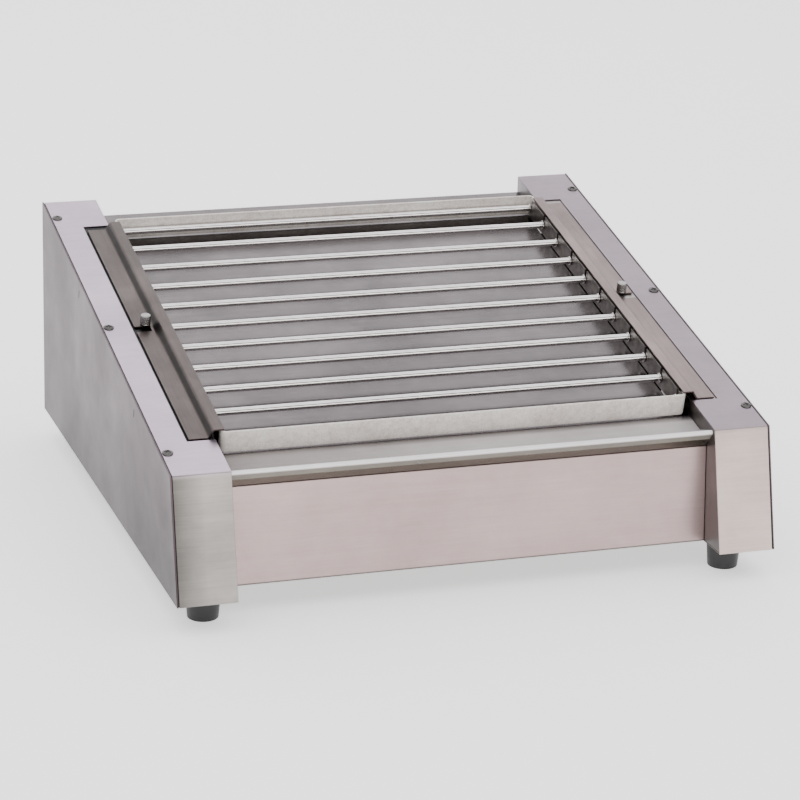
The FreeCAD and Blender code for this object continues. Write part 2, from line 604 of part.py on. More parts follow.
def make_rocker_shaft():
    """The cross shaft, a rocker arm in each tower, and the roller that moves the rack's fork."""
    end = "(arm_start + arm_gauge + shaft_end)"
    keep(cylinder("cross_shaft", "x", f"-{end}", "shaft_y", "shaft_z", "shaft_radius", f"{end} * 2"))
    arm_end = "roller_radius + arm_edge"
    # at rest the arm leans forward, because the rack rests nearer the front end of its travel
    tilt = "asin(roller_set / rocker_length)"
    swing = (f"Slope.Placement * placement(vector(0; {tied('shaft_place')}; {tied('shaft_level')}); "
             f"rotation(vector(1; 0; 0); {tied(tilt)}))")
    def on_arm(piece, x, z, axis="z", y="0"):
        piece.setExpression("Placement", f"{swing} * placement(vector({tied(x)}; {tied(y)}; {tied(z)}); "
                            f"rotation({TURNS[axis]}))")
        return piece
    blade = on_arm(box("arm_blade", 0, 0, 0, "arm_gauge", f"({arm_end}) * 2", "rocker_length"),
                   "arm_start", "0", y=f"-({arm_end})")
    eye = on_arm(cylinder("arm_eye", "x", 0, 0, 0, arm_end, "arm_gauge"), "arm_start", "rocker_length", "x")
    hub = on_arm(cylinder("arm_hub", "x", 0, 0, 0, "hub_radius", "arm_gauge + hub_boss"),
                 "arm_start", "0", "x")
    bore = on_arm(cylinder("arm_bore", "x", 0, 0, 0, "shaft_radius",
                           "arm_gauge + hub_boss + past * 2"), "arm_start - past", "0", "x")
    pin_hole = on_arm(cylinder("arm_pin_hole", "x", 0, 0, 0, "roller_radius - roller_step",
                               "arm_gauge + past * 2"), "arm_start - past", "rocker_length", "x")
    keep_pair(cut("right_rocker_arm", join("arm_blank", blade, eye, hub), bore, pin_hole))
    roller = on_arm(cylinder("roller_barrel", "x", 0, 0, 0, "roller_radius",
                             "arm_start - rail_face - edge_gap"), "rail_face + edge_gap",
                    "rocker_length", "x")
    stem = on_arm(cylinder("roller_stem", "x", 0, 0, 0, "roller_radius - roller_step",
                           "arm_gauge + past"), "arm_start - past", "rocker_length", "x")
    right = join("right_roller", roller, stem)
    keep(join("drive_rollers", right, mirrored("left_roller", right)))
    bushes = []
    for side, sign in SIDES.items():
        middle = f"{sign} * (wall + sheet_gauge / 2)"
        outer = cylinder(f"bush_{side}_outside", "x", f"{middle} - bush_length / 2", "shaft_y", "shaft_z",
                         "shaft_radius + bush_wall", "bush_length")
        inner = cylinder(f"bush_{side}_bore", "x", f"{middle} - bush_length / 2 - past", "shaft_y",
                         "shaft_z", "shaft_radius + run_gap", "bush_length + past * 2")
        bushes.append(cut(f"bush_{side}", outer, inner))
    keep(join("shaft_bushes", *bushes))


def make_motor():
    """A reversing gearmotor: its gearbox turns the cross shaft that passes through it."""
    half = "(gearbox_size / 2)"
    case = box("gearbox_case", "gearbox_start", f"shaft_y - {half} * 2.1", f"shaft_z - {half}",
               "gearbox_length", f"{half} * 3.1", f"{half} * 2")
    bore = cylinder("gearbox_bore", "x", "gearbox_start - past", "shaft_y", "shaft_z",
                    "shaft_radius + run_gap", "gearbox_length + past * 2")
    keep(cut("gearbox", case, bore))
    keep(cylinder("drive_motor", "x", "gearbox_start - seat_gap - motor_length",
                  "shaft_y - gearbox_size / 2 - motor_drop", "shaft_z", "motor_radius", "motor_length"))
    low, high = "foot_height + sheet_gauge + seat_gap", f"shaft_z - {half} - seat_gap - bracket_gauge"
    keep(folded("motor_bracket", [
        (f"shaft_y - {half} * 2.6", low), (f"shaft_y - {half} * 2", low), (f"shaft_y - {half} * 2", high),
        (f"shaft_y + {half} * 0.8", high), (f"shaft_y + {half} * 0.8", low),
        (f"shaft_y + {half} * 1.4", low),
    ], "-bracket_gauge", "gearbox_start", "gearbox_length"))
    switches = []
    for i, way in enumerate(("-1", "1")):
        switches.append(box(f"limit_switch_{i}", "-wall - sheet_gauge - seat_gap - limit_width",
                            f"shaft_place + {way} * limit_place - limit_length / 2",
                            "shaft_level + rocker_length / 2 - limit_height / 2", "limit_width",
                            "limit_length", "limit_height", sloped=True))
    keep(join("limit_switches", *switches))


# ---------------------------------------------------------------- guards

def make_guards():
    """Strips that cover the rods' ends. Each lies in the notch of its tower's cover and steps up over the
    rack. A thumb screw clamps it in a keyway; moved up the slope by guard_travel, the guard has the screw in
    the open mouth of the keyway and lifts off."""
    blank = folded("guard_blank", [
        ("wall - guard_overlap", "guard_rise"), ("wall + guard_flat", "guard_rise"),
        ("wall + guard_flat + guard_joggle", "guard_proud"), ("wall + guard_reach", "guard_proud"),
    ], "-guard_gauge", "guard_start", "guard_end - guard_start", view="front", sloped=True)
    low = "guard_proud - guard_gauge * 2"
    leg = "(stud_radius + edge_gap)"
    mouth = box("guard_mouth", f"thumb_place - {leg} - 1", f"thumb_line - {leg} - thumb_slot", low,
                "thumb_inset + stud_radius + 4", "thumb_slot", "guard_gauge * 3", sloped=True)
    keyway = box("guard_keyway", f"thumb_place - {leg}", f"thumb_line - {leg} * 2", low,
                 f"{leg} * 2", f"{leg} * 2", "guard_gauge * 3", sloped=True)
    seat = cylinder("guard_seat", "z", "thumb_place", "thumb_line", low, leg, "guard_gauge * 3",
                    sloped=True)
    keep_pair(cut("right_guard", blank, mouth, keyway, seat))
    nuts = []
    foot = "guard_proud + edge_gap"
    for side, sign in SIDES.items():
        x = f"{sign} * thumb_place"
        keep(turned(f"{side}_thumb_screw", [
            ("0", "-stud_length"), ("stud_radius", "-stud_length"), ("stud_radius", foot),
            ("thumb_radius", foot),
            ("thumb_radius", f"{foot} + thumb_height - thumb_edge"),
            ("thumb_radius - thumb_edge", f"{foot} + thumb_height"),
            ("0", f"{foot} + thumb_height"),
        ], "z", x, "thumb_line", "0", sloped=True))
        size = "stud_radius * 2"
        block = box(f"nut_block_{side}", f"{x} - {size}", f"thumb_line - {size}",
                    "ledge_top - sheet_gauge - seat_gap - nut_height", f"{size} * 2", f"{size} * 2",
                    "nut_height", sloped=True)
        hole = cylinder(f"nut_bore_{side}", "z", x, "thumb_line", "-stud_length",
                        "stud_radius + run_gap", "stud_length + past * 2", sloped=True)
        nuts.append(cut(f"thumb_nut_{side}", block, hole))
    keep(join("thumb_nuts", *nuts))


# ---------------------------------------------------------------- controls

def make_controls():
    face = "back_face"
    inside = f"{face} - sheet_gauge - seat_gap"
    # thermostat and its knob
    stat = box("thermostat_case", "knob_place - stat_width / 2", f"{inside} - stat_size",
               "control_height - stat_size / 2", "stat_width", "stat_size", "stat_size")
    seat = cylinder("thermostat_bore", "y", "knob_place", f"{inside} - stat_seat", "control_height",
                    "spindle_radius + run_gap", "stat_seat + past")
    keep(cut("thermostat", stat, seat))
    spindle = "-sheet_gauge - seat_gap - spindle_length"
    keep(turned("heat_knob", [
        ("0", spindle), ("spindle_radius", spindle), ("spindle_radius", "edge_gap"),
        ("knob_radius", "edge_gap"), ("knob_radius", "knob_rim"),
        ("knob_radius - knob_step", "knob_rim + knob_bevel"),
        ("knob_radius - knob_step - knob_draft", "knob_depth"), ("0", "knob_depth"),
    ], "y", "knob_place", face, "control_height"))
    # switch: a housing with a window, and a rocker that tips about a cross pin
    body = "(switch_length - switch_lip * 2)", "(switch_width - switch_lip * 2)"
    housing = join("switch_blank",
                   box("switch_front", "switch_place - switch_length / 2", face,
                       "control_height - switch_width / 2", "switch_length", "switch_flange",
                       "switch_width"),
                   box("switch_body", f"switch_place - {body[0]} / 2", f"{face} - switch_depth",
                       f"control_height - {body[1]} / 2", body[0], "switch_depth", body[1]))
    opening = "(rocker_radius - switch_lip + edge_gap)"
    window = box("switch_window", "switch_place - rocker_width - edge_gap", f"{face} - window_depth",
                 f"control_height - {opening}", "(rocker_width + edge_gap) * 2",
                 "window_depth + switch_flange + past", f"{opening} * 2")
    keep(cut("switch_housing", housing, window))
    pivot = f"{face} - rocker_set"
    tip = "(rocker_radius - rocker_edge)"
    # the pressed end lies just proud of the flange, the raised end stands out
    pressed, middle, raised = "switch_flange - 0.8", "switch_flange - 0.2", "switch_flange + 2.6"
    wedge = prism("rocker_wedge", [
        (f"{pivot} - rocker_set", f"control_height - {tip}"),
        (f"{face} + {pressed}", f"control_height - {tip}"),
        (f"{face} + {middle}", "control_height"), (f"{face} + {raised}", f"control_height + {tip}"),
        (f"{pivot} - rocker_set", f"control_height + {tip}"),
    ], "switch_place - rocker_width", "rocker_width * 2")
    keep(join("power_rocker", wedge, cylinder("rocker_barrel", "x", "switch_place - rocker_width", pivot,
                                             "control_height", "rocker_pin", "rocker_width * 2")))
    # inlet socket with a recess and three pins, and the terminal block inside
    shell = join("inlet_blank",
                 box("inlet_front", "inlet_place - inlet_length / 2 - inlet_lip", face,
                     "control_height - inlet_width / 2 - inlet_lip", "inlet_length + inlet_lip * 2",
                     "inlet_flange", "inlet_width + inlet_lip * 2"),
                 box("inlet_body", "inlet_place - inlet_length / 2", f"{face} - inlet_depth",
                     "control_height - inlet_width / 2", "inlet_length", "inlet_depth", "inlet_width"))
    recess = box("inlet_hollow", "inlet_place - inlet_length / 2 + inlet_wall", f"{face} - inlet_recess",
                 "control_height - inlet_width / 2 + inlet_wall", "inlet_length - inlet_wall * 2",
                 "inlet_recess + inlet_flange + past", "inlet_width - inlet_wall * 2")
    pins = [box(f"inlet_pin_{i}", f"inlet_place + {i} * inlet_pin_pitch - inlet_pin_width / 2",
                f"{face} - inlet_recess - past", "control_height - inlet_pin_height / 2",
                "inlet_pin_width", "inlet_pin_length", "inlet_pin_height") for i in (-1, 0, 1)]
    keep(join("power_inlet", cut("inlet_shell", shell, recess), *pins))
    block = box("terminal_blank", "block_place", f"{face} - block_set",
                "foot_height + sheet_gauge + seat_gap", f"block_pitch * {TERMINALS}", "block_width",
                "block_height")
    holes = [cylinder(f"terminal_hole_{i}", "z", f"block_place + ({i} + 0.5) * block_pitch",
                      f"{face} - block_set + block_width / 2", "foot_height", "block_hole",
                      "block_height * 2") for i in range(TERMINALS)]
    keep(cut("terminal_block", block, *holes))


# ---------------------------------------------------------------- build, check, write

def build():
    make_side_panel()
    make_tower_cover()
    make_inner_wall()
    make_cover_screws()
    make_feet()
    make_base_pan()
    make_front_panel()
    make_back_panel()
    make_deck()
    make_heat()
    make_rods()
    make_bands()
    make_rails()
    make_rack_fittings()
    make_rocker_shaft()
    make_motor()
    make_guards()
    make_controls()
    doc.recompute()


def check():
    for piece in doc.Objects:
        if "Invalid" in piece.State or "Error" in piece.State:
            raise RuntimeError(f"{piece.Name} failed: {piece.State}")
    for piece in parts:
        if piece.Shape.isNull() or not piece.Shape.isValid() or not piece.Shape.Solids:
            raise RuntimeError(f"{piece.Label} has no valid solid")
        if piece.Shape.Volume <= 0:
            raise RuntimeError(f"{piece.Label} has no volume")


def write():
    os.makedirs("parts", exist_ok=True)
    for piece in parts:
        piece.Shape.exportStep(f"parts/{piece.Label}.step")


build()
check()
write()
whole = Part.makeCompound([piece.Shape for piece in parts]).BoundBox
print(f"{len(parts)} nodes; x {whole.XMin:.2f} {whole.XMax:.2f}, y {whole.YMin:.2f} {whole.YMax:.2f}, "
      f"z {whole.ZMin:.2f} {whole.ZMax:.2f}")
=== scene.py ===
import bmesh
import bpy
import json
import math
import numpy as np
from mathutils import Matrix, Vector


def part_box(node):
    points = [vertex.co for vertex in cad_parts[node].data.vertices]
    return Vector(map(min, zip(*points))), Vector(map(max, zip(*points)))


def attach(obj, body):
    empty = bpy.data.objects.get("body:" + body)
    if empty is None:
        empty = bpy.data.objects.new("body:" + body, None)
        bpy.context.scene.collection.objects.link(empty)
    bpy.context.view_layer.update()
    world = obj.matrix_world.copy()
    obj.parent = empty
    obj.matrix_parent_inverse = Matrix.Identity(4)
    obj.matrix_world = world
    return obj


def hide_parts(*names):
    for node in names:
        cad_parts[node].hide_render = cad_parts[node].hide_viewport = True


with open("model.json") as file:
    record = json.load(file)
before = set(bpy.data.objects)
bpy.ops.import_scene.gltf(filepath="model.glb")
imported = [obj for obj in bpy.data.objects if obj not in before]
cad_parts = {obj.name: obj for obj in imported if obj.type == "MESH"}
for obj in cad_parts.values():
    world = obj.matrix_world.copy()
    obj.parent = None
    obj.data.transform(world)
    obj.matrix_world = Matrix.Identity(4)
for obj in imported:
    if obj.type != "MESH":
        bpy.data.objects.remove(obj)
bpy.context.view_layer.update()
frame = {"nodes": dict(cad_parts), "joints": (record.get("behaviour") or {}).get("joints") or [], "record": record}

# ---------------------------------------------------------------- sizes, in metres

MM = 0.001
SLIDE_AXIS = next(j["axis"] for j in frame["joints"] if j["name"] == "rack_slide")
COVER_LOW, COVER_HIGH = (np.array(c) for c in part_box("right_tower_cover"))
PANEL_LOW, PANEL_HIGH = (np.array(c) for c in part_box("front_panel"))
BAND_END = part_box("front_band")[1][0]
HALF_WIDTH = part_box("right_side_panel")[1][0]
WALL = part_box("right_inner_wall")[0][0]
BACK_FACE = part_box("back_panel")[1][1]

LEAN = 26 * MM                     # how far the towers' fronts lean back
SHEET = 1.2 * MM                   # covers and panels
DECK_SHEET = 1.5 * MM
DECK_DROP = 15 * MM                # deck below the towers' tops
LIP_FOOT, NOSE_SET, NOSE_DROP, NOSE_RADIUS = 26.8 * MM, 4.2 * MM, 4.8 * MM, 2.2 * MM
SKIRT_DROP, DECK_SKIRT, DECK_SET = 20.4 * MM, 18 * MM, 0.8 * MM
GUARD_SHEET, GUARD_RISE, GUARD_PROUD = 1.5 * MM, 8 * MM, 0.6 * MM
GUARD_START, GUARD_END = 54 * MM, 442 * MM
GUARD_OVERLAP, GUARD_FLAT, GUARD_JOGGLE, GUARD_REACH = 8 * MM, 1.5 * MM, 4.5 * MM, 22.5 * MM
GUARD_TRAVEL, NOTCH_GAP = 7.2 * MM, 2 * MM
THUMB_INSET, THUMB_RADIUS, THUMB_HEIGHT, STUD_RADIUS = 10.5 * MM, 4.6 * MM, 9.5 * MM, 2 * MM
KEY_WIDTH, MOUTH_LENGTH = 2.3 * MM, 9.6 * MM
RUN_GAP = 0.3 * MM
RACK_START, RACK_END = 52 * MM, 452 * MM
BAND_SHEET, BAND_HEIGHT, BAND_LEVEL, BAND_BEND, BAND_RETURN = 2 * MM, 20 * MM, -14 * MM, 5 * MM, 9 * MM
ROD_RADIUS, NECK_RADIUS, COLLAR_RADIUS, COLLAR_WIDTH = 3.175 * MM, 2 * MM, 4.4 * MM, 1.4 * MM
SCREW_EDGE, SCREW_END, SCREW_HEAD, SCREW_RISE = 7 * MM, 36 * MM, 4.7 * MM, 1.9 * MM
FOOT_RADIUS, FOOT_TAPER, FOOT_BORE = 15 * MM, 1.8 * MM, 5.5 * MM
PANEL_RETURN = 14 * MM
KNOB_RADIUS, KNOB_DEPTH = 13 * MM, 9.5 * MM

SIDES = {"left": -1, "right": 1}
ALONG = np.array(SLIDE_AXIS, float)
SQUARE = np.cross([1.0, 0.0, 0.0], ALONG)
SLOPE = math.atan2(ALONG[2], ALONG[1])
DEPTH = COVER_HIGH[1] - COVER_LOW[1]
FRONT_HEIGHT = COVER_HIGH[2] - (DEPTH - LEAN) * math.tan(SLOPE)
SLOPE_LENGTH = (DEPTH - LEAN) / math.cos(SLOPE)
SLOPE_START = np.array([0.0, COVER_LOW[1] + LEAN, FRONT_HEIGHT])


def on_slope(x, s, n):
    """Places given across, up the slope and square to it, as points in the row frame."""
    x, s, n = np.broadcast_arrays(np.asarray(x, float), s, n)
    points = SLOPE_START + s[..., None] * ALONG + n[..., None] * SQUARE
    points[..., 0] = x
    return points


# ---------------------------------------------------------------- meshes

def new_piece(name, points, faces, material):
    """A mesh piece from an array of points and an array of quads, smooth shaded, doubles merged, all
    faces turned outwards or one way."""
    mesh = bpy.data.meshes.new(name)
    mesh.from_pydata(points.reshape(-1, 3).tolist(), [], faces.tolist())
    work = bmesh.new()
    work.from_mesh(mesh)
    bmesh.ops.remove_doubles(work, verts=work.verts, dist=1e-6)
    bmesh.ops.recalc_face_normals(work, faces=work.faces)
    work.to_mesh(mesh)
    work.free()
    mesh.polygons.foreach_set("use_smooth", [True] * len(mesh.polygons))
    mesh.materials.append(material)
    piece = bpy.data.objects.new(name, mesh)
    bpy.context.scene.collection.objects.link(piece)
    return piece


def grid_quads(rows, columns, keep=None, around=False):
    """Quads between neighbouring rows and columns of a grid of points. keep masks quads; around closes
    the columns into rings."""
    wide = columns if around else columns - 1
    row, column = np.meshgrid(np.arange(rows - 1), np.arange(wide), indexing="ij")
    beside = (column + 1) % columns
    quads = np.stack([row * columns + column, row * columns + beside,
                      (row + 1) * columns + beside, (row + 1) * columns + column], -1)
    return quads[keep] if keep is not None else quads.reshape(-1, 4)


def bent(corners, radii, steps=6):
    """Straight runs through the corners with a round of the given radius at each inner one: a round is
    an arc tangent to both runs, its centre on the corner's bisector."""
    corners = np.array(corners, float)
    runs = [corners[:1]]
    for before, corner, after, radius in zip(corners, corners[1:], corners[2:], radii):
        back = (before - corner) / np.linalg.norm(before - corner)
        ahead = (after - corner) / np.linalg.norm(after - corner)
        half = math.acos(np.clip(back @ ahead, -1, 1)) / 2
        centre = corner + (back + ahead) / np.linalg.norm(back + ahead) * radius / math.sin(half)
        first = corner + back * radius / math.tan(half) - centre
        last = corner + ahead * radius / math.tan(half) - centre
        share = np.linspace(0, 1, steps + 1)[:, None]
        sweep = math.pi - 2 * half
        arc = (np.sin((1 - share) * sweep) * first + np.sin(share * sweep) * last) / math.sin(sweep)
        runs.append(centre + arc)
    return np.concatenate(runs + [corners[-1:]])


def stops(path, axis, places):
    """The path with a point added at each place along one of its axes, on its straight runs."""
    for place in places:
        low = np.minimum(path[:-1, axis], path[1:, axis])
        high = np.maximum(path[:-1, axis], path[1:, axis])
        inside = np.flatnonzero((low < place - 1e-6) & (high > place + 1e-6))
        if len(inside):
            i = inside[np.argmax(high[inside] - low[inside])]
            share = (place - path[i, axis]) / (path[i + 1, axis] - path[i, axis])
            path = np.insert(path, i + 1, path[i] + share * (path[i + 1] - path[i]), axis=0)
    return path


def finish_sheet(piece, gauge, edge=0.3 * MM, inward=-1):
    """Gives a surface its sheet thickness, and rounds the cut edges a little."""
    wall = piece.modifiers.new("sheet", "SOLIDIFY")
    wall.thickness = gauge
    wall.offset = inward
    wall.use_even_offset = True
    round_edges(piece, edge)
    return piece


def round_edges(piece, width, segments=2, angle=35):
    edges = piece.modifiers.new("edges", "BEVEL")
    edges.width = width
    edges.segments = segments
    edges.limit_method = "ANGLE"
    edges.angle_limit = math.radians(angle)
    edges.use_clamp_overlap = True
    weigh = piece.modifiers.new("shading", "WEIGHTED_NORMAL")
    weigh.keep_sharp = True
    weigh.weight = 80


def flip(piece):
    piece.data.flip_normals()
    return piece


def lathe(name, profile, material, base, axis, turns=64, wave=None):
    """A profile of (radius, height) carried round an axis through base. wave(angle, height) scales the
    radius, for knurls and flutes."""
    profile = np.array(profile, float)
    angle = np.arange(turns) * 2 * math.pi / turns
    radius = profile[:, :1] * (1 if wave is None else wave(angle[None, :], profile[:, 1:]))
    axis = np.array(axis, float) / np.linalg.norm(axis)
    across = np.cross(axis, [0.31, 0.95, 0.05] if abs(axis[1]) < 0.9 else [1.0, 0.0, 0.0])
    across /= np.linalg.norm(across)
    aside = np.cross(axis, across)
    points = (np.array(base) + profile[:, 1][:, None, None] * axis
              + (radius * np.cos(angle))[..., None] * across + (radius * np.sin(angle))[..., None] * aside)
    return new_piece(name, points, grid_quads(len(profile), turns, around=True), material)


def rounded(corners, radius, steps=3):
    """A lathe profile with the same small round at every inner corner."""
    return bent(corners, [radius] * (len(corners) - 2), steps)


# ---------------------------------------------------------------- materials

def group(name, inputs, outputs, build):
    """A shader node group with named float, vector or colour sockets, filled in by build."""
    tree = bpy.data.node_groups.new(name, "ShaderNodeTree")
    kinds = {"f": "NodeSocketFloat", "v": "NodeSocketVector", "c": "NodeSocketColor"}
    for label, kind in inputs:
        tree.interface.new_socket(label, in_out="INPUT", socket_type=kinds[kind])
    for label, kind in outputs:
        tree.interface.new_socket(label, in_out="OUTPUT", socket_type=kinds[kind])
    enter, leave = tree.nodes.new("NodeGroupInput"), tree.nodes.new("NodeGroupOutput")
    build(tree, enter, leave)
    return tree


def noise(tree, vector, scale, detail=3.0, rough=0.5, distortion=0.0):
    node = tree.nodes.new("ShaderNodeTexNoise")
    tree.links.new(vector, node.inputs["Vector"])
    node.inputs["Scale"].default_value = scale
    node.inputs["Detail"].default_value = detail
    node.inputs["Roughness"].default_value = rough
    node.inputs["Distortion"].default_value = distortion
    return node.outputs["Fac"]


def math_node(tree, operation, *values, clamp=False):
    node = tree.nodes.new("ShaderNodeMath")
    node.operation = operation
    node.use_clamp = clamp
    for socket, value in zip(node.inputs, values):
        if isinstance(value, (int, float)):
            socket.default_value = value
        else:
            tree.links.new(value, socket)
    return node.outputs[0]


def span(tree, value, low, high, to_low=0.0, to_high=1.0):
    """value moved from one range to another, held at the ends."""
    node = tree.nodes.new("ShaderNodeMapRange")
    for socket, number in zip(list(node.inputs)[1:5], (low, high, to_low, to_high)):
        if isinstance(number, (int, float)):
            socket.default_value = number
        else:
            tree.links.new(number, socket)
    tree.links.new(value, node.inputs["Value"])
    return node.outputs["Result"]


def build_grain(tree, enter, leave):
    """Brushing: noise drawn out along one direction, fine hairlines over broader streaks."""
    stretch = tree.nodes.new("ShaderNodeVectorMath")
    stretch.operation = "MULTIPLY"
    tree.links.new(enter.outputs["Vector"], stretch.inputs[0])
    tree.links.new(enter.outputs["Stretch"], stretch.inputs[1])
    hairs = noise(tree, stretch.outputs[0], 900.0, 2.0, 0.6)
    streaks = noise(tree, stretch.outputs[0], 210.0, 3.0, 0.55)
    both = math_node(tree, "ADD", math_node(tree, "MULTIPLY", hairs, 0.55),
                     math_node(tree, "MULTIPLY", streaks, 0.45))
    tree.links.new(both, leave.inputs["Grain"])
    tree.links.new(span(tree, hairs, 0.3, 0.7), leave.inputs["Hairs"])


def build_cloud(tree, enter, leave):
    """Handling marks: large soft clouds, and smaller blotches inside them."""
    large = noise(tree, enter.outputs["Vector"], 9.0, 3.0, 0.55, 0.4)
    small = noise(tree, enter.outputs["Vector"], 55.0, 4.0, 0.6, 0.8)
    tree.links.new(span(tree, large, 0.32, 0.68), leave.inputs["Cloud"])
    tree.links.new(span(tree, small, 0.35, 0.65), leave.inputs["Blotch"])


GRAIN = group("sheet grain", [("Vector", "v"), ("Stretch", "v")], [("Grain", "f"), ("Hairs", "f")],
              build_grain)
CLOUD = group("handling marks", [("Vector", "v")], [("Cloud", "f"), ("Blotch", "f")], build_cloud)


def base_material(name):
    material = bpy.data.materials.new(name)
    material.use_nodes = True
    tree = material.node_tree
    shader = tree.nodes["Principled BSDF"]
    place = tree.nodes.new("ShaderNodeTexCoord").outputs["Object"]
    return material, tree, shader, place


def use(tree, node_group, **inputs):
    node = tree.nodes.new("ShaderNodeGroup")
    node.node_tree = node_group
    for label, value in inputs.items():
        if isinstance(value, bpy.types.NodeSocket):
            tree.links.new(value, node.inputs[label])
        else:
            node.inputs[label].default_value = value
    return node


def mix_colour(tree, share, dark, light):
    node = tree.nodes.new("ShaderNodeMix")
    node.data_type = "RGBA"
    tree.links.new(share, node.inputs[0])
    for socket, colour in ((node.inputs[6], dark), (node.inputs[7], light)):
        if isinstance(colour, bpy.types.NodeSocket):
            tree.links.new(colour, socket)
        else:
            socket.default_value = (*colour, 1)
    return node.outputs[2]


def bump(tree, shader, height, strength, distance=0.05 * MM):
    node = tree.nodes.new("ShaderNodeBump")
    node.inputs["Strength"].default_value = strength
    node.inputs["Distance"].default_value = distance
    tree.links.new(height, node.inputs["Height"])
    tree.links.new(node.outputs["Normal"], shader.inputs["Normal"])


def shown_where(tree, split, ramps):
    """How far a place lies inside every ramp, along an axis from one place to another."""
    shown = 1.0
    for axis, start, end in ramps:
        shown = math_node(tree, "MULTIPLY", shown, span(tree, split.outputs[axis], start, end))
    return shown


def sheet_metal(name, dark, light, stretch, rough=(0.28, 0.4), cloud=0.3, blotch=0.1, depth=0.25,
                metallic=1.0, zones=(), dull=()):
    """Stainless sheet: the colour runs from dark to light with the grain, the clouds and the blotches;
    the grain also gives the roughness and a very fine relief. Each zone is a dark and a light colour and
    the ramps that say where they show, used for painted light and shade; inside the dull ramps the sheet
    is made less metallic."""
    material, tree, shader, place = base_material(name)
    grain = use(tree, GRAIN, Vector=place, Stretch=stretch)
    marks = use(tree, CLOUD, Vector=place)
    share = math_node(tree, "MULTIPLY", grain.outputs["Grain"], 1.0 - cloud - blotch)
    share = math_node(tree, "ADD", share, math_node(tree, "MULTIPLY", marks.outputs["Cloud"], cloud))
    share = math_node(tree, "ADD", share, math_node(tree, "MULTIPLY", marks.outputs["Blotch"], blotch))
    share = span(tree, share, 0.25, 0.75)
    colour = mix_colour(tree, share, dark, light)
    split = tree.nodes.new("ShaderNodeSeparateXYZ")
    tree.links.new(place, split.inputs[0])
    for zone_dark, zone_light, *ramps in zones:
        zone_colour = mix_colour(tree, share, zone_dark, zone_light)
        colour = mix_colour(tree, shown_where(tree, split, ramps), colour, zone_colour)
    tree.links.new(colour, shader.inputs["Base Color"])
    tree.links.new(span(tree, share, 0.0, 1.0, rough[1], rough[0]), shader.inputs["Roughness"])
    shader.inputs["Metallic"].default_value = metallic
    if dull:
        matt = math_node(tree, "MULTIPLY", shown_where(tree, split, dull), metallic)
        tree.links.new(math_node(tree, "SUBTRACT", metallic, matt), shader.inputs["Metallic"])
    bump(tree, shader, grain.outputs["Hairs"], depth)
    return material


def plain_metal(name, dark, light, rough, depth=0.1, scale=120.0):
    """Bright turned or cast metal with faint tool marks."""
    material, tree, shader, place = base_material(name)
    marks = noise(tree, place, scale, 4.0, 0.6)
    tree.links.new(mix_colour(tree, span(tree, marks, 0.3, 0.7), dark, light), shader.inputs["Base Color"])
    tree.links.new(span(tree, marks, 0.3, 0.7, rough * 1.3, rough * 0.8), shader.inputs["Roughness"])
    shader.inputs["Metallic"].default_value = 1.0
    bump(tree, shader, marks, depth)
    return material


def moulded(name, dark, light, rough, depth=0.3, scale=1400.0):
    """Rubber or plastic: a fine pebbled skin over slow changes of shade."""
    material, tree, shader, place = base_material(name)
    pebbles = noise(tree, place, scale, 2.0)
    shade = noise(tree, place, 30.0, 3.0)
    tree.links.new(mix_colour(tree, span(tree, shade, 0.3, 0.7), dark, light), shader.inputs["Base Color"])
    tree.links.new(span(tree, shade, 0.3, 0.7, rough, rough * 0.85), shader.inputs["Roughness"])
    bump(tree, shader, pebbles, depth)
    return material


ACROSS = (0.035, 1.0, 1.0)         # grain that runs left to right
UP_SLOPE = (1.0, 0.04, 0.04)       # grain that runs front to back

# ramps, along an axis from one place to another, that say where a zone of colour shows; the zones paint light and
# shade into the sheets' colour
FRONT = ("Y", SLOPE_START[1] + 1 * MM, SLOPE_START[1] - 1 * MM)
RIGHT = ("X", -0.2, 0.2)
NOSE = ("Y", SLOPE_START[1] + 7 * MM, SLOPE_START[1] + 5 * MM)
LIP = ("Y", SLOPE_START[1] + 54 * MM, SLOPE_START[1] + 44 * MM)
ABOVE_DECK = ("Z", 0.1190, 0.1200)
ABOVE_SKIRT = ("Z", 0.1255, 0.1268)
PANEL_FOOT = ("Z", PANEL_LOW[2] + 2.2 * MM, PANEL_LOW[2] + 1.6 * MM)
PANEL_SIDE = ("X", PANEL_LOW[0] + 4.2 * MM, PANEL_LOW[0] + 3.8 * MM)
# colours of the painted shade on the skirt under the deck's nose
PAINTED_SKIRT_SHADE = ((0.135, 0.127, 0.108), (0.21, 0.198, 0.168))
SKIRT_HIGH = (("Y", SLOPE_START[1] + 12 * MM, SLOPE_START[1] + 10 * MM), ("Z", 0.1256, 0.1246))
SKIRT_LOW = (("Y", SLOPE_START[1] + 20 * MM, SLOPE_START[1] + 18 * MM), ("Z", 0.1225, 0.1215))

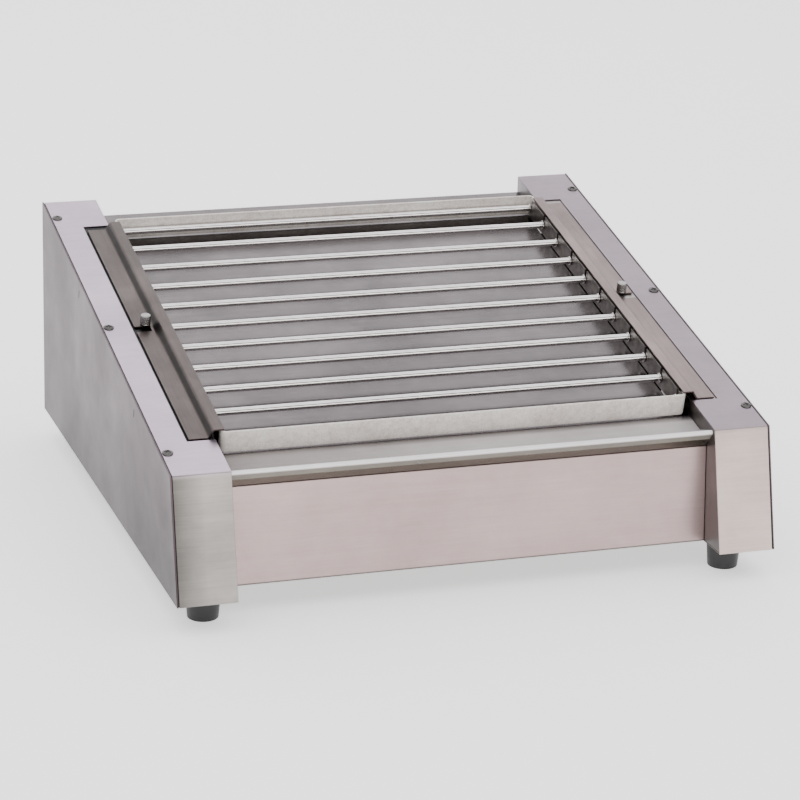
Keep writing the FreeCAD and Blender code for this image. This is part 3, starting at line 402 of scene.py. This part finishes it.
MATERIALS = {
    "tower_steel": sheet_metal(
        "tower_steel", (0.41, 0.345, 0.405), (0.50, 0.42, 0.49), ACROSS, (0.34, 0.42), 0.3, 0.08, 0.2,
        # painted light and shade: darker on the right tower, darker on the towers' fronts, lighter again on the
        # right tower's front, and a near-black strip along the outer edge of the left tower's front
        zones=[((0.245, 0.205, 0.232), (0.295, 0.245, 0.28), RIGHT),
               ((0.215, 0.20, 0.19), (0.315, 0.295, 0.278), FRONT),
               ((0.41, 0.335, 0.312), (0.52, 0.43, 0.405), FRONT, RIGHT),
               ((0.035, 0.033, 0.031), (0.06, 0.057, 0.053), FRONT, ("X", -0.240, -0.275))]),
    "side_steel": sheet_metal(
        "side_steel", (0.090, 0.070, 0.076), (0.114, 0.089, 0.097), UP_SLOPE, (0.36, 0.46), 0.4, 0.08, 0.12,
        # painted shade: the side panels darker towards the bottom
        zones=[((0.040, 0.032, 0.034), (0.052, 0.042, 0.045), ("Z", 0.13, 0.02))]),
    "panel_steel": sheet_metal(
        "panel_steel", (0.345, 0.262, 0.252), (0.43, 0.33, 0.318), ACROSS, (0.32, 0.40), 0.3, 0.1, 0.2,
        # painted shade: a darker strip along the front panel's bottom bend, and a near-black painted shadow line
        # at its left end where it meets the left tower, with no gap modelled
        zones=[((0.14, 0.12, 0.11), (0.18, 0.155, 0.145), PANEL_FOOT),
               ((0.03, 0.03, 0.03), (0.05, 0.05, 0.05), PANEL_SIDE)]),
    "wall_steel": sheet_metal(
        "wall_steel", (0.14, 0.13, 0.127), (0.22, 0.205, 0.20), UP_SLOPE, (0.3, 0.42), 0.3, 0.1,
        # painted shade and light: near black on the left wall's outer ledge, seen in the gap round the left guard,
        # and lighter on the right wall's outer ledge
        zones=[((0.008, 0.008, 0.008), (0.016, 0.016, 0.016), ("X", -WALL - 3 * MM, -WALL - 3.2 * MM)),
               ((0.28, 0.26, 0.25), (0.36, 0.335, 0.325), ("X", WALL + 3 * MM, WALL + 3.2 * MM))]),
    "rack_steel": sheet_metal(
        "rack_steel", (0.50, 0.41, 0.35), (1.0, 0.99, 0.95), (1.0, 1.0, 1.0), (0.42, 0.55), 0.1, 0.08,
        0.35, metallic=0.1),
    "rail_steel": plain_metal("rail_steel", (0.20, 0.185, 0.175), (0.34, 0.32, 0.30), 0.35),
    "guard_steel": sheet_metal(
        "guard_steel", (0.054, 0.043, 0.040), (0.102, 0.082, 0.077), UP_SLOPE, (0.28, 0.38), 0.3, 0.1, 0.3,
        # painted light and shade: the right guard lighter than the left, and a near-black line along the middle of
        # the left guard's joggle
        zones=[((0.145, 0.112, 0.107), (0.235, 0.183, 0.175), RIGHT),
               ((0.012, 0.010, 0.009), (0.022, 0.018, 0.016), ("X", -WALL - 2.2 * MM, -WALL - 3 * MM),
                ("X", -WALL - 6 * MM, -WALL - 4.6 * MM))]),
    "deck_steel": sheet_metal(
        "deck_steel", (0.090, 0.080, 0.082), (0.130, 0.116, 0.119), ACROSS, (0.20, 0.28), 0.4, 0.1, 0.12,
        # painted light and shade, for the rack at rest: a light strip on the flat deck and lip in front of the
        # band, also less metallic there, darker towards the left; painted shade on the skirt under the nose; a
        # near-white painted highlight on the rolled nose
        zones=[((0.42, 0.39, 0.385), (0.58, 0.545, 0.54), LIP, ABOVE_DECK),
               ((0.24, 0.22, 0.21), (0.34, 0.31, 0.30), LIP, ABOVE_DECK, ("X", -0.05, -0.20)),
               (*PAINTED_SKIRT_SHADE, *SKIRT_HIGH),
               (*PAINTED_SKIRT_SHADE, *SKIRT_LOW),
               ((0.80, 0.78, 0.76), (0.92, 0.90, 0.88), NOSE, ABOVE_SKIRT)],
        dull=[LIP, ABOVE_DECK]),
    "polished_rod": plain_metal("polished_rod", (0.66, 0.635, 0.62), (0.80, 0.78, 0.765), 0.05, 0.05),
    "bright_fasteners": sheet_metal(
        "bright_fasteners", (0.20, 0.19, 0.185), (0.42, 0.40, 0.39), (1.0, 1.0, 1.0), (0.2, 0.26),
        # painted shade: the cover screws' heads, outside the thumb screws, darker than the thumb screws
        zones=[((0.06, 0.057, 0.055), (0.13, 0.124, 0.12), ("X", sign * 0.252, sign * 0.254))
               for sign in SIDES.values()]),
    "foot_rubber": moulded("foot_rubber", (0.006, 0.006, 0.006), (0.014, 0.014, 0.014), 0.5),
    "heater_aluminium": plain_metal("heater_aluminium", (0.42, 0.42, 0.43), (0.56, 0.56, 0.57), 0.4),
    "element_sheath": plain_metal("element_sheath", (0.07, 0.066, 0.06), (0.15, 0.14, 0.13), 0.5, 0.3),
    "inner_steel": plain_metal("inner_steel", (0.5, 0.51, 0.52), (0.66, 0.67, 0.68), 0.4),
    "drive_steel": plain_metal("drive_steel", (0.4, 0.4, 0.4), (0.6, 0.6, 0.6), 0.3),
    "bush_bronze": plain_metal("bush_bronze", (0.45, 0.3, 0.13), (0.66, 0.48, 0.25), 0.4),
    "glide_plastic": moulded("glide_plastic", (0.7, 0.7, 0.67), (0.85, 0.85, 0.82), 0.4),
    "motor_paint": moulded("motor_paint", (0.03, 0.035, 0.04), (0.06, 0.065, 0.07), 0.45, 0.2),
    "control_plastic": moulded("control_plastic", (0.012, 0.012, 0.012), (0.03, 0.03, 0.03), 0.4),
    "component_plastic": moulded("component_plastic", (0.05, 0.045, 0.04), (0.1, 0.09, 0.08), 0.5),
}


# ---------------------------------------------------------------- CAD nodes that stay

def dress_cad_nodes():
    """Every CAD node gets its slot's material, smooth faces and slightly rounded edges."""
    slots = {s["node"]: s["material_slot"] for s in frame["record"]["subparts"]}
    for name, node in frame["nodes"].items():
        material = MATERIALS[slots[name]]
        node.data.materials.clear()
        node.data.materials.append(material)
        node.data.polygons.foreach_set("use_smooth", [True] * len(node.data.polygons))
        weld = node.modifiers.new("weld", "WELD")
        weld.merge_threshold = 1e-6
        round_edges(node, 0.3 * MM, angle=30)


# ---------------------------------------------------------------- towers

def make_tower_cover(side, sign):
    """The cover is one sheet: its path runs up the leaning front, up the slope and down the back, and is
    carried across the tower, less the notch for the guard."""
    low, back = COVER_LOW[2], COVER_HIGH[1]
    corners = [(COVER_LOW[1], low), (COVER_LOW[1] + LEAN, FRONT_HEIGHT), (back, COVER_HIGH[2]), (back, low)]
    notch = [GUARD_START - NOTCH_GAP, GUARD_END + GUARD_TRAVEL + NOTCH_GAP]
    path = stops(bent(corners, [1.6 * MM, 1.6 * MM]), 0, [SLOPE_START[1] + s * ALONG[1] for s in notch])
    across = np.array([WALL, WALL + GUARD_REACH + NOTCH_GAP, COVER_HIGH[0]])
    points = np.empty((len(path), len(across), 3))
    points[..., 0] = sign * across
    points[..., 1] = path[:, :1]
    points[..., 2] = path[:, 1:]
    s = (path[:, 0] - SLOPE_START[1]) / ALONG[1]
    middle = (s[:-1] + s[1:]) / 2
    top = path[:-1, 1] > FRONT_HEIGHT - 1 * MM
    in_notch = (middle > notch[0]) & (middle < notch[1]) & top & (path[1:, 1] > FRONT_HEIGHT)
    keep = np.ones((len(path) - 1, 2), bool)
    keep[in_notch, 0] = False
    piece = new_piece(f"{side}_cover_sheet", points, grid_quads(len(path), 3, keep),
                      MATERIALS["tower_steel"])
    return aim(piece, (0, 0, 1))


def aim(piece, outward):
    """Turns the faces over if their summed area does not look outward."""
    mesh = piece.data
    normals = np.empty(len(mesh.polygons) * 3)
    areas = np.empty(len(mesh.polygons))
    mesh.polygons.foreach_get("normal", normals)
    mesh.polygons.foreach_get("area", areas)
    if (normals.reshape(-1, 3) * areas[:, None]).sum(0) @ np.array(outward, float) < 0:
        flip(piece)
    return piece


def make_towers():
    for side, sign in SIDES.items():
        cover = finish_sheet(make_tower_cover(side, sign), SHEET, 0.35 * MM)
        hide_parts(f"{side}_tower_cover")
        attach(cover, "chassis")


def cross_head(radius, rise):
    """A domed screw head with a cross recess. Height over radius and angle: a low dome, less a cross of
    two crossing grooves that gets shallower outwards."""
    ring = np.concatenate([np.linspace(0, 0.97, 22), [1.0, 1.0]])[:, None] * radius
    angle = np.arange(96)[None, :] * 2 * math.pi / 96
    dome = rise * (1 - 0.62 * (ring / radius) ** 2)
    x, y = ring * np.cos(angle), ring * np.sin(angle)
    arm = 0.15 * radius
    near = np.minimum(np.abs(x), np.abs(y))
    groove = np.clip((arm - near) / (0.07 * radius) + 0.5, 0, 1) * np.clip(
        (0.62 * radius - ring) / (0.08 * radius), 0, 1)
    height = dome - groove * rise * (0.75 - 0.5 * ring / radius)
    height[-1] = 0.0
    return np.broadcast_to(x, height.shape), np.broadcast_to(y, height.shape), height


def make_cover_screws():
    x, y, height = cross_head(SCREW_HEAD, SCREW_RISE)
    first = None
    for side, sign in SIDES.items():
        for i, s in enumerate((SCREW_END, SLOPE_LENGTH / 2, SLOPE_LENGTH - SCREW_END), 1):
            turn = 0.5 + 1.7 * i + sign
            spun_x = x * math.cos(turn) - y * math.sin(turn)
            spun_y = x * math.sin(turn) + y * math.cos(turn)
            points = on_slope(sign * (HALF_WIDTH - SCREW_EDGE) + spun_x, s + spun_y, height)
            screw = new_piece(f"cover_screw_{side}_{i}", points, grid_quads(*x.shape, around=True),
                              MATERIALS["bright_fasteners"])
            aim(screw, SQUARE)
            first = first or screw
            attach(screw, "chassis")
    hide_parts("cover_screws")


# ---------------------------------------------------------------- guards

def make_guard(side, sign):
    """The guard's path runs from its raised inner edge down the joggle to the flat outer edge, and is
    carried up the slope, less the keyway."""
    edge = WALL - GUARD_OVERLAP
    corners = [(edge, GUARD_RISE), (WALL + GUARD_FLAT, GUARD_RISE),
               (WALL + GUARD_FLAT + GUARD_JOGGLE, GUARD_PROUD), (WALL + GUARD_REACH, GUARD_PROUD)]
    thumb = WALL + GUARD_REACH - THUMB_INSET
    path = stops(bent(corners, [2.0 * MM, 2.0 * MM]), 0,
                 [thumb - KEY_WIDTH - 1 * MM, thumb - KEY_WIDTH, thumb + KEY_WIDTH])
    middle = SLOPE_LENGTH / 2
    mouth = (middle - KEY_WIDTH - MOUTH_LENGTH, middle - KEY_WIDTH)
    along = np.array([GUARD_START, mouth[0], mouth[1], middle + KEY_WIDTH, GUARD_END])
    points = on_slope(sign * path[:, 0][:, None], along[None, :], path[:, 1][:, None])
    x = (path[:-1, 0] + path[1:, 0]) / 2
    keep = np.ones((len(path) - 1, len(along) - 1), bool)
    keep[x > thumb - KEY_WIDTH - 1 * MM, 1] = False
    keep[np.abs(x - thumb) < KEY_WIDTH, 2] = False
    return aim(new_piece(f"{side}_guard_strip", points, grid_quads(len(path), len(along), keep),
                         MATERIALS["guard_steel"]), SQUARE)


def knurl(angle, height):
    """Diamond knurling: two sets of shallow grooves that cross, stopping short of the ends of the head."""
    ridges = 30
    twist = height / (2.6 * MM)
    crossed = np.abs(np.sin((angle * ridges / 2 + twist * math.pi) % math.pi)) * np.abs(
        np.sin((angle * ridges / 2 - twist * math.pi) % math.pi))
    grip = (height > 1.6 * MM) & (height < THUMB_HEIGHT - 0.4 * MM)
    return 1 - 0.09 * (1 - crossed) * grip


def make_guards():
    for side, sign in SIDES.items():
        guard = finish_sheet(make_guard(side, sign), GUARD_SHEET, 0.35 * MM)
        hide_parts(f"{side}_guard")
        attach(guard, f"{side}_guard")
        foot = GUARD_PROUD + RUN_GAP
        head = np.concatenate([
            [(0, -12 * MM - foot), (STUD_RADIUS, -12 * MM - foot), (STUD_RADIUS, 0.0),
             (THUMB_RADIUS * 0.95, 0.0), (THUMB_RADIUS, 0.25 * MM), (THUMB_RADIUS, 1.3 * MM)],
            np.stack([np.full(34, THUMB_RADIUS), np.linspace(1.4 * MM, THUMB_HEIGHT - 0.5 * MM, 34)], 1),
            [(THUMB_RADIUS * 0.93, THUMB_HEIGHT - 0.1 * MM), (THUMB_RADIUS * 0.85, THUMB_HEIGHT),
             (THUMB_RADIUS * 0.3, THUMB_HEIGHT), (0, THUMB_HEIGHT)]])
        base = on_slope(sign * (WALL + GUARD_REACH - THUMB_INSET), SLOPE_LENGTH / 2, foot)
        screw = lathe(f"{side}_knurled_screw", head, MATERIALS["bright_fasteners"], base, SQUARE, 180,
                      knurl)
        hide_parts(f"{side}_thumb_screw")
        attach(screw, f"{side}_thumb_screw")


# ---------------------------------------------------------------- deck and panels

def sheet_across(name, path, half, material, sloped, outward, gauge):
    """A path in the side view carried across the grill. Sloped paths are drawn in the deck's frame."""
    across = np.array([-half, half])
    if sloped:
        points = on_slope(across[None, :], path[:, :1], path[:, 1:])
    else:
        points = np.empty((len(path), 2, 3))
        points[..., 0] = across
        points[..., 1:] = path[:, None, :]
    piece = aim(new_piece(name, points, grid_quads(len(path), 2), material), outward)
    return finish_sheet(piece, gauge)


def make_deck():
    """The deck's path: upright back skirt, rounded back edge, long flat, a soft turn up into the lip, the
    rolled nose and the skirt under it."""
    low = -DECK_DROP - DECK_SKIRT
    back, foot_back = ((COVER_HIGH[1] - DECK_SET - SLOPE_START[1] + n * ALONG[2]) / ALONG[1]
                       for n in (-DECK_DROP, low))
    lip = math.radians(28.7)
    skirt = math.radians(29.3)
    # where the straight runs either side of the nose would meet
    reach = NOSE_RADIUS / (1 - math.sin(lip + skirt))
    tip = (NOSE_SET - reach * (math.cos(skirt) - math.sin(lip)),
           -NOSE_DROP + reach * (math.cos(lip) - math.sin(skirt)))
    foot = NOSE_SET + (SKIRT_DROP - NOSE_DROP) * math.tan(skirt) - NOSE_RADIUS * math.cos(skirt)
    corners = [(foot_back, low), (back, -DECK_DROP), (LIP_FOOT, -DECK_DROP), tip,
               (foot, -SKIRT_DROP - NOSE_RADIUS * math.sin(skirt))]
    path = bent(corners, [NOSE_RADIUS, 9 * MM, NOSE_RADIUS], 10)
    deck = sheet_across("deck_sheet", path, WALL - RUN_GAP, MATERIALS["deck_steel"], True, SQUARE,
                        DECK_SHEET)
    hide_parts("deck")
    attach(deck, "chassis")


def make_front_panel():
    """The front panel's path: return under the case, leaning face, return under the lip."""
    low, high = PANEL_LOW[2], PANEL_HIGH[2]
    top_y = SLOPE_START[1] + 11.03 * MM * ALONG[1] + 21.48 * MM * ALONG[2]
    corners = [(PANEL_LOW[1] + PANEL_RETURN, low), (PANEL_LOW[1], low), (top_y, high),
               (top_y + PANEL_RETURN * 0.6, high)]
    path = bent(corners, [1.8 * MM, 1.5 * MM])
    panel = sheet_across("front_sheet", path, WALL - 0.3 * MM, MATERIALS["panel_steel"], False, (0, -1, 0),
                         SHEET)
    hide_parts("front_panel")
    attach(panel, "chassis")


# ---------------------------------------------------------------- rack

def make_band(name, end, inward):
    """A band's path runs across the rack with a round bend and a short return at each end; it is carried
    up through the band's height."""
    half = BAND_END
    corners = [(-half, end + inward * BAND_RETURN), (-half, end), (half, end),
               (half, end + inward * BAND_RETURN)]
    path = bent(corners, [BAND_BEND, BAND_BEND], 8)
    up = np.linspace(BAND_LEVEL, BAND_LEVEL + BAND_HEIGHT, 2)
    points = on_slope(path[:, :1], path[:, 1:], up[None, :])
    piece = aim(new_piece(name, points, grid_quads(len(path), 2), MATERIALS["rack_steel"]),
                -inward * ALONG)
    return finish_sheet(piece, BAND_SHEET, 0.7 * MM)


def make_rods():
    """Each rod is turned: long body, a collar near each end, and a neck that lies in the rail's slot."""
    collar_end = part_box("rod_01")[1][0] - BAND_SHEET
    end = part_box("rod_01")[1][0]
    inner = collar_end - COLLAR_WIDTH
    half = rounded([(ROD_RADIUS, 0), (ROD_RADIUS, inner), (COLLAR_RADIUS, inner),
                    (COLLAR_RADIUS, collar_end), (NECK_RADIUS, collar_end), (NECK_RADIUS, end), (0, end)],
                   0.3 * MM)
    profile = np.concatenate([half[::-1] * [1, -1], half[1:]])
    for i in range(1, 12):
        name = f"rod_{i:02d}"
        low, high = (np.array(c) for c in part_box(name))
        rod = lathe(f"polished_{name}", profile, MATERIALS["polished_rod"], (low + high) / 2, (1, 0, 0), 40)
        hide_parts(name)
        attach(rod, name)


def make_rack():
    for name, end, inward in (("front_band", RACK_START, 1), ("back_band", RACK_END, -1)):
        band = make_band(f"{name}_strip", end, inward)
        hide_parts(name)
        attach(band, "rack")
    make_rods()


# ---------------------------------------------------------------- feet and knob

def make_feet():
    """A foot is turned rubber: a slightly tapered side, a flat sole and a bore for its screw."""
    for name in ("foot_front_left", "foot_front_right", "foot_back_left", "foot_back_right"):
        low, high = (np.array(c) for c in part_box(name))
        tall = high[2] - low[2]
        sole = FOOT_RADIUS - FOOT_TAPER
        profile = rounded([(FOOT_BORE, tall * 0.48), (FOOT_BORE, 0), (sole, 0), (FOOT_RADIUS, tall * 0.9),
                           (FOOT_RADIUS, tall), (2.6 * MM, tall), (2.6 * MM, tall * 0.48)], 1.0 * MM, 4)
        profile = np.concatenate([profile, profile[:1]])
        base = [(low[0] + high[0]) / 2, (low[1] + high[1]) / 2, low[2]]
        foot = lathe(f"rubber_{name}", profile, MATERIALS["foot_rubber"], base, (0, 0, 1), 64)
        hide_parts(name)
        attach(foot, "chassis")


def flutes(angle, height):
    """Finger flutes round the knob's grip."""
    grip = (height > 3.2 * MM) & (height < KNOB_DEPTH - 0.6 * MM)
    return 1 - 0.05 * grip * (0.5 + 0.5 * np.cos(angle * 12))


def make_knob():
    low, high = (np.array(c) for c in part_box("heat_knob"))
    profile = rounded([(0, low[1] - BACK_FACE), (3 * MM, low[1] - BACK_FACE), (3 * MM, 0.3 * MM),
                       (KNOB_RADIUS, 0.3 * MM), (KNOB_RADIUS, 2.4 * MM), (KNOB_RADIUS * 0.8, 3.0 * MM),
                       (KNOB_RADIUS * 0.75, KNOB_DEPTH), (0, KNOB_DEPTH)], 0.25 * MM)
    base = [(low[0] + high[0]) / 2, BACK_FACE, (low[2] + high[2]) / 2]
    profile = np.concatenate([profile[:-3], np.stack([np.interp(
        np.linspace(0, 1, 8), [0, 1], [profile[-3][0], profile[-2][0]]), np.interp(
        np.linspace(0, 1, 8), [0, 1], [profile[-3][1], profile[-2][1]])], 1), profile[-1:]])
    knob = lathe("fluted_knob", profile, MATERIALS["control_plastic"], base, (0, 1, 0), 144, flutes)
    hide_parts("heat_knob")
    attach(knob, "heat_knob")


# ---------------------------------------------------------------- stage, light, camera

def make_stage():
    """A pale floor that curves up far behind into a pale wall."""
    run = bent([(-6.0, 0.0), (5.0, 0.0), (5.0, 5.0)], [2.0], 24)
    points = np.empty((len(run), 2, 3))
    points[..., 0] = (-7.0, 7.0)
    points[..., 1:] = run[:, None, :]
    floor_material, tree, shader, _ = base_material("studio_floor")
    shader.inputs["Base Color"].default_value = (0.95, 0.95, 0.95, 1)
    shader.inputs["Roughness"].default_value = 0.9
    shader.inputs["Emission Color"].default_value = (1, 1, 1, 1)
    shader.inputs["Emission Strength"].default_value = 0.9
    floor = new_piece("studio_floor", points, grid_quads(len(run), 2), floor_material)
    aim(floor, (0, 0, 1))


def area_light(name, spot, target, size, power, colour):
    data = bpy.data.lights.new(name, "AREA")
    data.shape = "RECTANGLE"
    data.size, data.size_y = size
    data.energy = power
    data.color = colour
    light = bpy.data.objects.new(name, data)
    away = np.array(spot, float) - np.array(target, float)
    away /= np.linalg.norm(away)
    right = np.cross([0.0, 0.0, 1.0] if abs(away[2]) < 0.98 else [0.0, 1.0, 0.0], away)
    right /= np.linalg.norm(right)
    turn = np.stack([right, np.cross(away, right), away], 1)
    light.matrix_world = Matrix.Translation(spot) @ Matrix(turn.tolist()).to_4x4()
    bpy.context.scene.collection.objects.link(light)


def make_light():
    world = bpy.data.worlds.new("studio")
    world.use_nodes = True
    world.node_tree.nodes["Background"].inputs["Color"].default_value = (0.92, 0.92, 0.96, 1)
    world.node_tree.nodes["Background"].inputs["Strength"].default_value = 0.33
    bpy.context.scene.world = world
    area_light("overhead", (0.0, 0.5, 2.4), (0, 0.5, 0), (5.0, 5.6), 160, (0.985, 0.97, 1.0))
    area_light("front", (0.0, -3.4, 0.55), (0, 0, 0.1), (5.0, 1.1), 62, (1.0, 0.98, 0.94))


def make_camera():
    """Camera on the front left, a little above: azimuth and elevation turn it round the grill, roll is
    the small tilt of its horizon."""
    azimuth, elevation, roll = math.radians(-18.876), math.radians(18.548), math.radians(1.688)
    back = np.array([math.sin(azimuth) * math.cos(elevation), -math.cos(azimuth) * math.cos(elevation),
                     math.sin(elevation)])
    right = np.cross(-back, [0.0, 0.0, 1.0])
    right /= np.linalg.norm(right)
    up = np.cross(right, -back)
    right, up = (math.cos(roll) * right + math.sin(roll) * up, -math.sin(roll) * right + math.cos(roll) * up)
    data = bpy.data.cameras.new("camera")
    data.sensor_width = 36.0
    data.lens = 133.37
    data.clip_end = 50.0
    camera = bpy.data.objects.new("camera", data)
    turn = np.stack([right, up, back], 1)
    camera.matrix_world = Matrix.Translation((-0.82336, -2.43309, 0.95985)) @ Matrix(turn.tolist()).to_4x4()
    bpy.context.scene.collection.objects.link(camera)
    bpy.context.scene.camera = camera


# ---------------------------------------------------------------- build

dress_cad_nodes()
make_towers()
make_cover_screws()
make_guards()
make_deck()
make_front_panel()
make_rack()
make_feet()
make_knob()
make_stage()
make_light()
make_camera()
